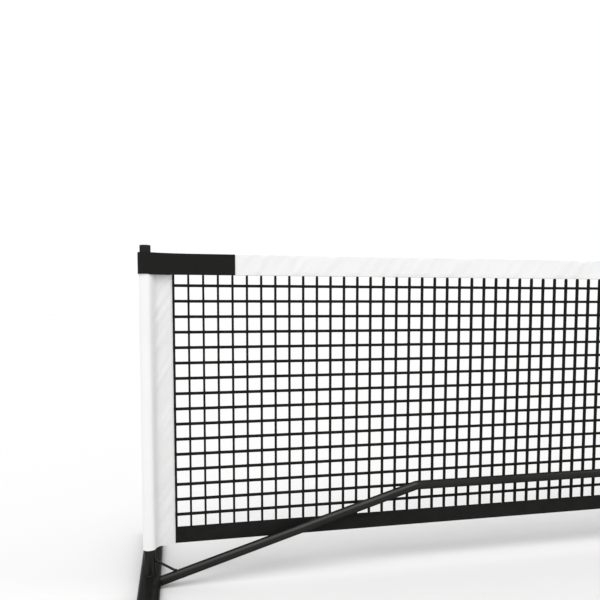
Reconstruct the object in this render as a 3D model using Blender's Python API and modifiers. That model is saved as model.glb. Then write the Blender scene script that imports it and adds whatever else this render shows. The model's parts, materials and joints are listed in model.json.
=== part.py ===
"""Portable court net: a low sports net on a free-standing frame of steel tubes.

Metres, +Z up. The origin is on the ground under the middle of the net, +X runs along the net
and -Y is the front. Two end bases and a middle base stand on the ground. A tube rail rises from
each end base to a knee and runs level to the middle hub. The net hangs just behind the rail.
"""

from math import cos, hypot, pi, radians, sin

import bmesh
import bpy
from mathutils import Matrix, Vector

# Driving dimensions
POST_SPAN = 6.690           # between the two post axes, a little under 22 ft
TAPE_TOP = 0.914            # top edge of the net, 36 in
TAPE_HEIGHT = 0.0554
HEM_BOTTOM = 0.1148
HEM_HEIGHT = 0.0450
MESH_Y = 0.018              # the net's plane, behind the plane of posts and rails
POST_TOP = 0.9330
POST_JOINT = 0.50           # where the two halves of a post meet

POST_R = 0.0143
TUBE_R = 0.0131             # rails, middle leg and hub
WALL = 0.0012
GAP = 0.0003                # between parts that touch
BORE_R = TUBE_R - WALL
SPIGOT_R = BORE_R - GAP
SPIGOT_LENGTH = 0.060
SWAGE_STEP = 0.003          # length of the shoulder between tube and spigot

FOOT_WIDTH = 0.058
FOOT_HEIGHT = 0.038
FOOT_WALL = 0.0016
FOOT_LENGTH = 0.80
FOOT_OUT = 0.0015           # the end feet are this far outboard of the post axis
MIDDLE_FOOT_LENGTH = 0.56
CAP_WALL = 0.002            # the end caps carry the bar this far off the ground
CAP_DEPTH = 0.036

RAIL_START = (0.0205, 0.0165)   # distance in from the post axis, and height
KNEE = (0.7722, 0.2394)
KNEE_RADIUS = 0.040
BENT_RAIL_END = 1.4722
RAIL_JOINT = 2.3722
HUB_HALF = 0.0794

SLEEVE_TOP = TAPE_TOP - TAPE_HEIGHT - 0.0006
SLEEVE_BOTTOM = 0.112
SLEEVE_EDGE = 0.0680        # the net's own edge, measured in from the post axis
SLEEVE_CLOTH = 0.0008
SLEEVE_R = 0.0164
SLEEVE_SLACK = 0.0012       # the pocket hangs this far outboard of the post axis
BAND_EDGE = 0.2385
BAND_DROP = 0.0017          # the band hangs this far below the tape
BAND_R = 0.0178
BAND_SLACK = 0.0013         # extra room outboard of the post
WEBBING = 0.0012
NET_CLOTH = 0.0012
TAPE_HALF = 0.0029          # half the folded tape's depth, at the middle of its cloth
TAPE_CLOTH = 0.0010
CORD_R = 0.0018
CORD_SAG = 0.0016           # slack between the top cord and the fold of the tape

STRAP_WIDTH = 0.048
STRAP_FRONT_Y = -0.0150
STRAP_REAR_Y = 0.0228
STRAP_TOP = 0.9162
ANCHOR_Z = 0.130
ANCHOR_Y = -0.0230
ANCHOR_R = 0.0020

BUTTON_R = 0.0031
BUTTON_STAND = 0.0022       # how far a snap button stands out of its tube
BUTTON_SETBACK = 0.028      # from the joint's seam
GUSSET_R = 0.0034
GUSSET_TOP = (0.0045, 0, 0.0845)    # inside the post
GUSSET_FOOT = (0.0750, 0, 0.0393)   # inside the rail

POST_X = POST_SPAN / 2
FOOT_TOP = CAP_WALL + FOOT_HEIGHT
RAIL_Z = KNEE[1]
LEFT, RIGHT = -1, 1
SIDES = {"left": LEFT, "right": RIGHT}


# Scene, materials and modifiers

def clear_scene():
    for obj in list(bpy.data.objects):
        bpy.data.objects.remove(obj, do_unlink=True)


def new_collection(name):
    collection = bpy.data.collections.new(name)
    bpy.context.scene.collection.children.link(collection)
    return collection


def material(name, colour, roughness, metallic=0.0):
    made = bpy.data.materials.new(name)
    made.use_nodes = True
    shader = made.node_tree.nodes["Principled BSDF"]
    shader.inputs["Base Color"].default_value = (*colour, 1.0)
    shader.inputs["Roughness"].default_value = roughness
    shader.inputs["Metallic"].default_value = metallic
    return made


def link(obj, mat):
    PARTS.objects.link(obj)
    obj.data.materials.append(mat)
    return obj


def as_cutter(obj):
    """Moves an object to the cutters, where it is neither rendered nor a part."""
    for collection in list(obj.users_collection):
        collection.objects.unlink(obj)
    CUTTERS.objects.link(obj)
    obj.hide_render = True
    obj.display_type = "WIRE"
    return obj


def boolean(obj, cutter, operation="DIFFERENCE"):
    modifier = obj.modifiers.new("cut_" + cutter.name, "BOOLEAN")
    modifier.operation = operation
    modifier.object = cutter


def at(side, inward, y, z):
    """A point given by its distance in from the post axis of one side."""
    return Vector((side * (POST_X - inward), y, z))


def smooth(mesh):
    mesh.shade_smooth()
    mesh.set_sharp_from_angle(angle=radians(35))


# Shapes

def shift(obj, offset):
    obj.matrix_world = Matrix.Translation(offset) @ obj.matrix_world


def turned(name, profile, mat, base=(0, 0, 0), direction=(0, 0, 1), steps=24):
    """A closed ring of (radius, height) points turned about a line from base along direction."""
    mesh = bpy.data.meshes.new(name)
    ends = [(i, (i + 1) % len(profile)) for i in range(len(profile))]
    if profile[0][0] == 0:
        ends.pop()
    mesh.from_pydata([(r, 0, z) for r, z in profile], ends, [])
    obj = link(bpy.data.objects.new(name, mesh), mat)
    screw = obj.modifiers.new("turn", "SCREW")
    screw.steps = screw.render_steps = steps
    screw.use_merge_vertices = True
    screw.merge_threshold = 0.00001
    screw.use_smooth_shade = True
    obj.location = base
    obj.rotation_mode = "QUATERNION"
    obj.rotation_quaternion = Vector(direction).to_track_quat("Z", "Y")
    return obj


def tube(name, start, end, mat, male_start=False, male_end=False, radius=TUBE_R):
    """A hollow tube from start to end. A male end is swaged down and goes on as a spigot."""
    start = Vector(start)
    end = Vector(end)
    length = (end - start).length
    bore = radius - WALL
    spigot = bore - GAP
    neck = spigot - WALL
    first = SWAGE_STEP if male_start else 0
    last = length - SWAGE_STEP if male_end else length
    outer = [(radius, last), (radius, first)]
    inner = [(bore, first), (bore, last)]
    if male_end:
        outer = [(spigot, length + SPIGOT_LENGTH), (spigot, length)] + outer
        inner = inner + [(neck, length), (neck, length + SPIGOT_LENGTH)]
    if male_start:
        outer = outer + [(spigot, 0), (spigot, -SPIGOT_LENGTH)]
        inner = [(neck, -SPIGOT_LENGTH), (neck, 0)] + inner
    return turned(name, outer + inner, mat, start, end - start)


def rod_cutter(name, start, end, radius):
    """A plain cylinder between two points, for cutting."""
    start = Vector(start)
    end = Vector(end)
    mesh = bpy.data.meshes.new(name)
    shape = bmesh.new()
    bmesh.ops.create_cone(
        shape, cap_ends=True, segments=32, radius1=radius, radius2=radius,
        depth=(end - start).length,
    )
    shape.to_mesh(mesh)
    shape.free()
    obj = as_cutter(bpy.data.objects.new(name, mesh))
    obj.location = (start + end) / 2
    obj.rotation_mode = "QUATERNION"
    obj.rotation_quaternion = (end - start).to_track_quat("Z", "Y")
    return obj


def wire(name, points, radius, mat, resolution=4):
    """A round bar along straight runs between points."""
    data = bpy.data.curves.new(name, "CURVE")
    data.dimensions = "3D"
    data.bevel_depth = radius
    data.bevel_resolution = resolution
    data.use_fill_caps = True
    spline = data.splines.new("POLY")
    spline.points.add(len(points) - 1)
    for point, place in zip(spline.points, points):
        point.co = (*place, 1)
    return link(bpy.data.objects.new(name, data), mat)


def to_mesh(obj):
    """The same shape as a closed mesh, which Booleans can use."""
    bpy.context.view_layer.update()
    graph = bpy.context.evaluated_depsgraph_get()
    mesh = bpy.data.meshes.new_from_object(obj.evaluated_get(graph))
    shape = bmesh.new()
    shape.from_mesh(mesh)
    bmesh.ops.remove_doubles(shape, verts=shape.verts, dist=0.00001)
    bmesh.ops.recalc_face_normals(shape, faces=shape.faces)
    shape.to_mesh(mesh)
    shape.free()
    name = obj.name
    matrix = obj.matrix_world.copy()
    bpy.data.objects.remove(obj, do_unlink=True)
    made = bpy.data.objects.new(name, mesh)
    PARTS.objects.link(made)
    made.matrix_world = matrix
    return made


def racetrack(width, height, arc_steps=10):
    """Outline of a flat oval: two straight sides joined by half circles."""
    radius = height / 2
    flat = width / 2 - radius
    points = []
    for side, first in ((1, -pi / 2), (-1, pi / 2)):
        for i in range(arc_steps + 1):
            angle = first + pi * i / arc_steps
            points.append((side * flat + radius * cos(angle), radius * sin(angle)))
    return points


def prism(name, outlines, length, mat):
    """Flat outlines, the inner ones being holes, carried along Y about the origin."""
    data = bpy.data.curves.new(name, "CURVE")
    data.dimensions = "2D"
    data.fill_mode = "BOTH"
    data.extrude = length / 2
    for outline in outlines:
        spline = data.splines.new("POLY")
        spline.points.add(len(outline) - 1)
        for point, (x, y) in zip(spline.points, outline):
            point.co = (x, y, 0, 1)
        spline.use_cyclic_u = True
    obj = link(bpy.data.objects.new(name, data), mat)
    obj.rotation_euler = (pi / 2, 0, 0)
    return obj


def ribbon(name, path, low, high, thickness, mat, plane="XY"):
    """Webbing or cloth standing on a path in one plane, and as wide as low to high across it."""
    def place(a, b, across):
        return (a, b, across) if plane == "XY" else (across, a, b)

    mesh = bpy.data.meshes.new(name)
    shape = bmesh.new()
    rows = [[shape.verts.new(place(a, b, c)) for c in (low, high)] for a, b in path]
    for first, second in zip(rows, rows[1:]):
        shape.faces.new((first[0], second[0], second[1], first[1]))
    shape.to_mesh(mesh)
    shape.free()
    obj = link(bpy.data.objects.new(name, mesh), mat)
    solid = obj.modifiers.new("cloth", "SOLIDIFY")
    solid.thickness = thickness
    solid.offset = 0
    return obj


def arc(centre, radius, first, last, steps):
    """Points on a circle, angles in degrees."""
    found = []
    for i in range(steps + 1):
        angle = radians(first + (last - first) * i / steps)
        found.append((centre[0] + radius * cos(angle), centre[1] + radius * sin(angle)))
    return found


# Snap buttons: a domed pin on a leaf spring, inside a spigot

def button_mesh():
    """The pin's axis is local Z, the tube's axis is local X, and the origin is on the tube's axis."""
    top = TUBE_R + BUTTON_STAND
    flange_top = 0.0082
    flange_bottom = 0.0074
    flange_r = 0.0043
    profile = [(0, top), (BUTTON_R * 0.6, top - 0.0003), (BUTTON_R, top - 0.0012),
               (BUTTON_R, flange_top), (flange_r, flange_top), (flange_r, flange_bottom),
               (0, flange_bottom)]
    pin = turned("snap_pin", profile, STEEL, steps=16)
    leaf_mesh = bpy.data.meshes.new("snap_leaf")
    shape = bmesh.new()
    bmesh.ops.create_cube(shape, size=1)
    bmesh.ops.scale(shape, vec=(0.030, 0.0066, 0.0006), verts=shape.verts)
    bmesh.ops.translate(shape, vec=(0.012, 0, 0.0078), verts=shape.verts)
    shape.to_mesh(leaf_mesh)
    shape.free()
    leaf = as_cutter(bpy.data.objects.new("snap_leaf", leaf_mesh))
    boolean(pin, leaf, "UNION")
    made = to_mesh(pin)
    mesh = made.data
    bpy.data.objects.remove(made, do_unlink=True)
    bpy.data.objects.remove(leaf, do_unlink=True)
    mesh.materials.clear()
    mesh.materials.append(STEEL)
    smooth(mesh)
    return mesh


def snap_button(name, place, outward, along, tubes):
    """A button at place on a tube's axis, with its hole cut through the tubes that it locks."""
    outward = Vector(outward).normalized()
    along = Vector(along).normalized()
    obj = bpy.data.objects.new(name, BUTTON)
    PARTS.objects.link(obj)
    across = outward.cross(along)
    turn = Matrix((along, across, outward)).transposed().to_4x4()
    obj.matrix_world = Matrix.Translation(place) @ turn
    hole = rod_cutter(name + "_hole", place, place + outward * (2 * TUBE_R), BUTTON_R + GAP)
    for item in tubes:
        boolean(item, hole)
    return obj


# Frame

def foot(name, x, length):
    """A flat oval bar across the net with a moulded cap on each end."""
    bar_z = CAP_WALL + FOOT_HEIGHT / 2
    outer = racetrack(FOOT_WIDTH, FOOT_HEIGHT)
    bore = racetrack(FOOT_WIDTH - 2 * FOOT_WALL, FOOT_HEIGHT - 2 * FOOT_WALL)
    bar = prism(name + "_foot_bar", [outer, bore], length, BLACK_STEEL)
    bar.location = (x, 0, bar_z)
    for end, sign in (("front", -1), ("rear", 1)):
        grow = 2 * CAP_WALL
        shell = racetrack(FOOT_WIDTH + grow, FOOT_HEIGHT + grow)
        pocket = racetrack(FOOT_WIDTH + 2 * GAP, FOOT_HEIGHT + 2 * GAP)
        cap = to_mesh(prism(f"{name}_foot_cap_{end}", [shell], CAP_DEPTH, RUBBER))
        shift(cap, (x, sign * (length / 2 - CAP_DEPTH / 2 + 0.004), bar_z))
        hollow = to_mesh(prism(f"{name}_{end}_pocket", [pocket], 2 * CAP_DEPTH, RUBBER))
        shift(hollow, (x, sign * (length / 2 - CAP_DEPTH + GAP), bar_z))
        boolean(cap, as_cutter(hollow))
    return bar


def end_base(name, side):
    """Foot, welded lower post, spigot for the rail, and the gusset rod between post and rail."""
    foot(name, side * (POST_X + FOOT_OUT), FOOT_LENGTH)
    base = at(side, 0, 0, FOOT_TOP + GAP)
    joint = at(side, 0, 0, POST_JOINT)
    lower = tube(f"{name}_lower_post", base, joint, BLACK_STEEL, radius=POST_R)
    start = at(side, RAIL_START[0], 0, RAIL_START[1])
    knee = at(side, KNEE[0], 0, KNEE[1])
    slope = (knee - start).normalized()
    neck = SPIGOT_R - WALL
    ring = [(SPIGOT_R, 0.095), (SPIGOT_R, 0), (neck, 0), (neck, 0.095)]
    spigot = turned(f"{name}_rail_spigot", ring, BLACK_STEEL, start, slope)
    boolean(spigot, foot_clearance(name, side))
    ends = [at(side, *GUSSET_TOP), at(side, *GUSSET_FOOT)]
    gusset = to_mesh(wire(f"{name}_gusset_rod", ends, GUSSET_R, BLACK_STEEL))
    boolean(gusset, rod_cutter(f"{name}_post_clearance", base, joint, POST_R + GAP))
    boolean(gusset, rod_cutter(f"{name}_rail_clearance", start, knee, TUBE_R + GAP))
    return lower, spigot, start, slope


def foot_clearance(name, side):
    """The outline of the foot bar and the gap round it, for cutting what meets its side."""
    outline = racetrack(FOOT_WIDTH + 2 * GAP, FOOT_HEIGHT + 2 * GAP)
    shape = to_mesh(prism(f"{name}_foot_clearance", [outline], 0.2, BLACK_STEEL))
    shift(shape, at(side, -FOOT_OUT, 0, CAP_WALL + FOOT_HEIGHT / 2))
    return as_cutter(shape)


def upper_post(name, side, lower):
    """The upper half plugs into the lower one, and a plug closes its top.

    The snap button points to the rear and inwards, where the cloth pocket is open.
    """
    top = POST_TOP - 0.0045
    post = tube(
        f"{name}_upper_post", at(side, 0, 0, POST_JOINT + GAP), at(side, 0, 0, top), BLACK_STEEL,
        male_start=True, radius=POST_R)
    outward = Vector((-side, 1, 0)).normalized()
    place = at(side, 0, 0, POST_JOINT - BUTTON_SETBACK) + outward * (POST_R - TUBE_R)
    snap_button(f"{name}_post_button", place, outward, (0, 0, 1), (lower, post))
    plug = POST_R - WALL - GAP
    rim = POST_R + 0.0002
    turned(
        f"{name}_post_cap",
        [(0, POST_TOP), (rim - 0.0016, POST_TOP), (rim - 0.0004, POST_TOP - 0.0005),
         (rim, POST_TOP - 0.0016), (rim, top + GAP), (plug, top + GAP), (plug, top - 0.014),
         (0, top - 0.014)],
        PLASTIC, at(side, 0, 0, 0))


def bent_rail(name, side, start):
    """A rail that rises from the foot to the knee and then runs level."""
    slope = Vector((KNEE[0] - RAIL_START[0], KNEE[1] - RAIL_START[1]))
    turn = slope.angle(Vector((1, 0)))
    trim = KNEE_RADIUS * sin(turn / 2) / cos(turn / 2)
    back = slope.normalized() * trim
    route = [RAIL_START, (KNEE[0] - back.x, KNEE[1] - back.y)]
    centre = (KNEE[0] + trim, KNEE[1] - KNEE_RADIUS)
    steps = 4
    for i in range(1, steps + 1):
        angle = pi / 2 + turn * (1 - i / steps)
        route.append((centre[0] + KNEE_RADIUS * cos(angle), centre[1] + KNEE_RADIUS * sin(angle)))
    route.append((BENT_RAIL_END, RAIL_Z))
    points = [at(side, a, 0, z) for a, z in route]
    rail = to_mesh(wire(f"{name}_bent_rail", points, TUBE_R, BLACK_STEEL, resolution=10))
    first = points[0] - (points[1] - points[0]).normalized() * 0.01
    last = points[-1] + Vector((-side * 0.01, 0, 0))
    inside = [first, *points[1:-1], last]
    bore = to_mesh(wire(f"{name}_rail_bore", inside, BORE_R, BLACK_STEEL, resolution=10))
    boolean(rail, as_cutter(bore))
    boolean(rail, foot_clearance(name + "_rail", side))
    return rail


def rail_run(name, side, spigot, slope, rail, hub):
    """Two straight tubes between the bent rail and the middle hub, with their snap buttons."""
    inward = Vector((-side, 0, 0))
    first = at(side, BENT_RAIL_END + GAP, 0, RAIL_Z)
    joint = at(side, RAIL_JOINT, 0, RAIL_Z)
    outer = tube(f"{name}_outer_rail", first, joint, BLACK_STEEL, male_start=True)
    last = Vector((side * (HUB_HALF + GAP), 0, RAIL_Z))
    inner = tube(f"{name}_inner_rail", joint + inward * GAP, last, BLACK_STEEL, male_start=True)
    start = at(side, RAIL_START[0], 0, RAIL_START[1])
    down = Vector((-side * slope.z, 0, -abs(slope.x)))
    snap_button(f"{name}_foot_button", start + slope * 0.066, down, slope, (spigot, rail))
    front = (0, -1, 0)
    knee_place = at(side, BENT_RAIL_END - BUTTON_SETBACK, 0, RAIL_Z)
    snap_button(f"{name}_knee_button", knee_place, front, inward, (rail, outer))
    rail_place = at(side, RAIL_JOINT - BUTTON_SETBACK, 0, RAIL_Z)
    snap_button(f"{name}_rail_button", rail_place, front, inward, (outer, inner))
    hub_place = Vector((side * (HUB_HALF + BUTTON_SETBACK), 0, RAIL_Z))
    snap_button(f"{name}_hub_button", hub_place, front, -inward, (inner, hub))


def middle_base():
    """Foot, leg and hub in the middle, the rod that holds the net up and its socket."""
    foot("middle", 0, MIDDLE_FOOT_LENGTH)
    hub = tube("middle_hub", (-HUB_HALF, 0, RAIL_Z), (HUB_HALF, 0, RAIL_Z), BLACK_STEEL, True, True)
    clearance = rod_cutter("hub_clearance", (-0.05, 0, RAIL_Z), (0.05, 0, RAIL_Z), TUBE_R + GAP)
    leg = tube("middle_leg", (0, 0, FOOT_TOP + GAP), (0, 0, RAIL_Z), BLACK_STEEL)
    boolean(leg, clearance)
    socket_r = 0.0072
    rod_r = 0.0042
    bore = rod_r + GAP
    socket_top = RAIL_Z + 0.045
    ring = [(socket_r, socket_top), (socket_r, RAIL_Z), (bore, RAIL_Z), (bore, socket_top)]
    socket = turned("stay_rod_socket", ring, BLACK_STEEL, steps=20)
    boolean(socket, clearance)
    rod_bottom = RAIL_Z + TUBE_R + 2 * GAP
    rod_top = 0.898
    rod = [(0, rod_top), (rod_r, rod_top), (rod_r, rod_bottom), (0, rod_bottom)]
    turned("stay_rod", rod, GLASS_FIBRE, steps=16)
    cap_r = 0.0070
    cap_top = 0.9080
    skirt_z = 0.872
    turned(
        "stay_rod_cap",
        [(0, cap_top), (cap_r * 0.5, cap_top - 0.0009), (cap_r * 0.87, cap_top - 0.0035),
         (cap_r, cap_top - 0.007), (cap_r, skirt_z), (bore, skirt_z), (bore, rod_top + GAP),
         (0, rod_top + GAP)],
        PLASTIC, steps=20)
    bar = 0.036
    route = [(-0.006, -0.0090, ANCHOR_Z), (-bar, ANCHOR_Y, ANCHOR_Z), (bar, ANCHOR_Y, ANCHOR_Z),
             (0.006, -0.0090, ANCHOR_Z)]
    anchor = to_mesh(wire("strap_anchor", route, ANCHOR_R, BLACK_STEEL, resolution=2))
    boolean(anchor, rod_cutter("leg_clearance", (0, 0, 0.08), (0, 0, 0.18), TUBE_R + GAP))
    return hub


# Net

def folded(name, top, bottom, closed_at_top, mat):
    """Tape folded over one edge of the net, as wide as the net between the two bands."""
    reach = POST_X - 0.030 if closed_at_top else POST_X - SLEEVE_EDGE - GAP
    fold_z = top - TAPE_HALF if closed_at_top else bottom + TAPE_HALF
    bend = arc((MESH_Y, fold_z), TAPE_HALF, 180, 0 if closed_at_top else 360, 6)
    open_z = bottom if closed_at_top else top
    path = [(MESH_Y - TAPE_HALF, open_z), *bend, (MESH_Y + TAPE_HALF, open_z)]
    return ribbon(name, path, -reach, reach, TAPE_CLOTH, mat, plane="YZ")


def net():
    """Mesh panel, folded top tape and bottom hem, and the cord that runs inside each."""
    half_cloth = TAPE_CLOTH / 2
    folded("top_tape", TAPE_TOP - half_cloth, TAPE_TOP - TAPE_HEIGHT, True, WHITE_CLOTH)
    folded("bottom_hem", HEM_BOTTOM + HEM_HEIGHT, HEM_BOTTOM + half_cloth, False, BLACK_CLOTH)
    cord_reach = POST_X - 0.036
    top_cord_z = TAPE_TOP - TAPE_CLOTH - CORD_R - CORD_SAG
    hem_cord_z = HEM_BOTTOM + TAPE_CLOTH + CORD_R + 2 * GAP
    wire("top_cord", [(-cord_reach, MESH_Y, top_cord_z), (cord_reach, MESH_Y, top_cord_z)], CORD_R, CORD, 2)
    hem_reach = POST_X - SLEEVE_EDGE - 0.003
    wire("hem_cord", [(-hem_reach, MESH_Y, hem_cord_z), (hem_reach, MESH_Y, hem_cord_z)], CORD_R, CORD, 2)
    low = hem_cord_z + CORD_R + 0.001
    high = top_cord_z - CORD_R - 0.001
    reach = POST_X - 0.045
    ribbon("net_mesh", [(-reach, MESH_Y), (reach, MESH_Y)], low, high, NET_CLOTH, BLACK_CLOTH)


def side_sleeve(name, side):
    """White cloth pocket: round the post, then two layers flat to the edge of the net."""
    layer = 0.0016
    front = MESH_Y - layer
    rear = MESH_Y + layer
    path = [(SLEEVE_EDGE, front), (0.040, front), (0.0300, front - 0.0003), (0.0272, front - 0.0028)]
    path += [(a, -b) for a, b in arc((-SLEEVE_SLACK, 0), SLEEVE_R, 34, 270, 18)]
    path += [(0.012, rear - 0.0010), (0.024, rear), (SLEEVE_EDGE, rear)]
    points = [(side * (POST_X - a), y) for a, y in path]
    return ribbon(f"{name}_side_sleeve", points, SLEEVE_BOTTOM, SLEEVE_TOP, SLEEVE_CLOTH, WHITE_CLOTH)


def corner_band(name, side):
    """Black webbing looped round the top of the post, with its two ends on the faces of the tape."""
    layer = TAPE_HALF + TAPE_CLOTH / 2 + WEBBING / 2 + GAP
    front = MESH_Y - layer
    rear = MESH_Y + layer
    path = [(BAND_EDGE, front), (0.120, front), (0.094, front - 0.0018), (0.067, front - 0.0068),
            (0.042, front - 0.0125), (0.027, front - 0.0178), (0.0175, front - 0.0237)]
    for a, b in arc((0, 0), BAND_R, 60, 262, 14):
        path.append((a - BAND_SLACK if a < 0 else a, -b))
    path += [(0.012, rear - 0.0022), (0.026, rear), (0.055, rear), (BAND_EDGE, rear)]
    points = [(side * (POST_X - a), y) for a, y in path]
    return ribbon(
        f"{name}_corner_band", points, TAPE_TOP - TAPE_HEIGHT - BAND_DROP, TAPE_TOP,
        WEBBING, WEBBING_BLACK)


def middle_strap():
    """Strap from the anchor bar, up the front, over rod and tape, and down behind the net."""
    front_turn = 0.008
    rear_turn = 0.004
    loop_r = ANCHOR_R + GAP + WEBBING / 2 + 0.0004
    path = [(STRAP_FRONT_Y - 0.0028, 0.172), (ANCHOR_Y - 0.0006, 0.152)]
    path += arc((ANCHOR_Y, ANCHOR_Z), loop_r, 190, 350, 8)
    path += [(ANCHOR_Y + 0.0046, 0.140), (STRAP_FRONT_Y - 0.0008, 0.166), (STRAP_FRONT_Y, 0.186)]
    path += arc((STRAP_FRONT_Y + front_turn, STRAP_TOP - front_turn), front_turn, 180, 90, 5)
    path += arc((STRAP_REAR_Y - rear_turn, STRAP_TOP - rear_turn), rear_turn, 90, 0, 5)
    path += [(STRAP_REAR_Y, 0.125)]
    half = STRAP_WIDTH / 2
    return ribbon("middle_strap", path, -half, half, WEBBING, WEBBING_WHITE, plane="YZ")


def strap_slider():
    """Moulded slide on the front of the strap."""
    mesh = bpy.data.meshes.new("strap_slider")
    shape = bmesh.new()
    bmesh.ops.create_cube(shape, size=1)
    bmesh.ops.scale(shape, vec=(0.062, 0.0064, 0.030), verts=shape.verts)
    shape.to_mesh(mesh)
    shape.free()
    slider = link(bpy.data.objects.new("strap_slider", mesh), PLASTIC)
    slider.location = (0, STRAP_FRONT_Y, 0.560)
    slot_mesh = bpy.data.meshes.new("slider_slot")
    shape = bmesh.new()
    bmesh.ops.create_cube(shape, size=1)
    bmesh.ops.scale(shape, vec=(0.0505, 0.0026, 0.060), verts=shape.verts)
    shape.to_mesh(slot_mesh)
    shape.free()
    slot = as_cutter(bpy.data.objects.new("slider_slot", slot_mesh))
    slot.location = slider.location
    round_edges = slider.modifiers.new("rounded", "BEVEL")
    round_edges.width = 0.0012
    round_edges.segments = 2
    boolean(slider, slot)
    return slider


clear_scene()
PARTS = new_collection("Portable court net")
CUTTERS = new_collection("Cutters")
BLACK_STEEL = material("black powder-coated steel", (0.018, 0.018, 0.017), 0.42, 0.0)
STEEL = material("zinc-plated spring steel", (0.62, 0.62, 0.63), 0.35, 1.0)
PLASTIC = material("black moulded plastic", (0.020, 0.020, 0.021), 0.50)
RUBBER = material("black rubber", (0.024, 0.024, 0.024), 0.80)
GLASS_FIBRE = material("black fibreglass", (0.022, 0.022, 0.024), 0.30)
WHITE_CLOTH = material("white coated polyester", (0.88, 0.88, 0.88), 0.65)
BLACK_CLOTH = material("black net twine", (0.016, 0.016, 0.016), 0.85)
WEBBING_BLACK = material("black webbing", (0.018, 0.018, 0.017), 0.80)
WEBBING_WHITE = material("white webbing", (0.85, 0.85, 0.84), 0.70)
CORD = material("white braided cord", (0.80, 0.80, 0.78), 0.75)
BUTTON = button_mesh()

MIDDLE_HUB = middle_base()
for side_name, side_sign in SIDES.items():
    post_stub, rail_stub, rail_start, rail_slope = end_base(side_name, side_sign)
    upper_post(side_name, side_sign, post_stub)
    long_rail = bent_rail(side_name, side_sign, rail_start)
    rail_run(side_name, side_sign, rail_stub, rail_slope, long_rail, MIDDLE_HUB)
    side_sleeve(side_name, side_sign)
    corner_band(side_name, side_sign)
net()
middle_strap()
strap_slider()
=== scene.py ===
"""Looks of the portable court net: cloth, twine, webbing, coated steel, light and camera.

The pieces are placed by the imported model's own boxes. Metres, +X along the net, +Y to the rear.
"""

import json
from math import cos, pi, radians, sin, sqrt, tau

import bpy
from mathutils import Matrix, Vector, noise


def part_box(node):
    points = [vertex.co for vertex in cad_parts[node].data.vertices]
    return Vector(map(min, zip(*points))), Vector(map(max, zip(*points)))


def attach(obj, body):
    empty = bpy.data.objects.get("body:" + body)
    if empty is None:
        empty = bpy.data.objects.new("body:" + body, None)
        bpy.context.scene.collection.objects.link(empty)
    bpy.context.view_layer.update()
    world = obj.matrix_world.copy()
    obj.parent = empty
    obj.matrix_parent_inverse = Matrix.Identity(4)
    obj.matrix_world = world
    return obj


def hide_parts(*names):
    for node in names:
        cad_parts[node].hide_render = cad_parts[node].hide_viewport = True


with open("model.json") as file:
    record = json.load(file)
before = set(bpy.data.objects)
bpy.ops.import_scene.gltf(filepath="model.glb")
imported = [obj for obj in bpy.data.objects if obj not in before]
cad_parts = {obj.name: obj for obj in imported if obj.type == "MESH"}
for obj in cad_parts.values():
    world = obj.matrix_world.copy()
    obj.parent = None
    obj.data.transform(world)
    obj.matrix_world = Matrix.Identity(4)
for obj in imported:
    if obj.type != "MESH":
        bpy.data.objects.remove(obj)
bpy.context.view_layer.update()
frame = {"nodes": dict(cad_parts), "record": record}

BODY = "net_and_frame"
SIDES = {"left": -1, "right": 1}

# Places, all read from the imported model
POST_LOW, POST_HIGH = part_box("left_lower_post")
POST_X = -(POST_LOW.x + POST_HIGH.x) / 2
POST_R = (POST_HIGH.x - POST_LOW.x) / 2
FOOT_LOW, FOOT_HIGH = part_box("left_foot_bar")
ROD_LOW, ROD_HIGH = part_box("left_gusset_rod")
TAPE_LOW, TAPE_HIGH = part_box("top_tape")
HEM_LOW, HEM_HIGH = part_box("bottom_hem")
SLEEVE_LOW, SLEEVE_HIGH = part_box("left_side_sleeve")
BAND_LOW, BAND_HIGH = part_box("left_corner_band")
PANEL_LOW, PANEL_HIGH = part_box("net_mesh")
STRAP_LOW, STRAP_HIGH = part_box("middle_strap")
ANCHOR_LOW, ANCHOR_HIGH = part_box("strap_anchor")
SLIDER_LOW, SLIDER_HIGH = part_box("strap_slider")
NET_Y = (PANEL_LOW.y + PANEL_HIGH.y) / 2
SLEEVE_EDGE = POST_X + SLEEVE_HIGH.x
BAND_EDGE = POST_X + BAND_HIGH.x

# Mesh of the net
EDGE_STRAND = 0.0715          # the outermost upright, in from the post axis
COLUMNS = 165
ROWS = 16
TOP_ROW_DROP = 0.0862         # the first row, below the top of the tape
ROW_STEP = 0.04215
UPRIGHT_SIZE = (0.0057, 0.0086)             # width, depth
EDGE_WIDTH = 0.0064           # of the two outermost uprights
ROW_SIZE = (0.0079, 0.0036)                 # height, depth
HELD_IN = 0.012               # how deep the uprights reach into the tape and the hem

# Cloth
CLOTH = 0.0009                # thickness
WEBBING = 0.0011              # thickness
CLEAR = 0.0002                # between a piece and the faces of its CAD solid
TAPE_BOTTOM = TAPE_LOW.z - 0.0012
TAPE_SQUARENESS = 4.0         # of the fold along the top of the tape
TAPE_RISE = 0.0015            # how far the tape stands up between the bands and the strap
TAPE_WRINKLE = 0.0026
PEEP = 0.0004                 # how far the row held in the tape shows below it
DENT_STEP = 0.175             # between the dents along the top of the tape
DENT_HALF = 0.0125            # half a dent's width
HEM_WRINKLE = 0.0003
SLEEVE_FOLD = 0.0025
SLEEVE_SLACK = 0.0006
POCKET_SEAM = 0.0350          # the seam that closes the pocket, in from the post axis
EDGE_SEAM = 0.0035            # the seam along the net's edge, in from that edge
BAND_DROOP = 0.0014
BAND_BOX = 0.100              # length of the sewn box at each end of the band

# Stitches
STITCH = (0.0031, 0.0009, 0.0005)           # length, width, height
STITCH_STEP = 0.0046
STITCH_DIP = 0.4              # how deep its ends go, in its own heights
STITCH_SHOULDER = 0.55        # how far out its full height reaches, in half lengths

# Welds
BEAD_R = 0.0019
BEAD_OUT = 0.0006             # the bead's middle, out from the post and up from the foot
BEAD_RIPPLES = 32

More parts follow.
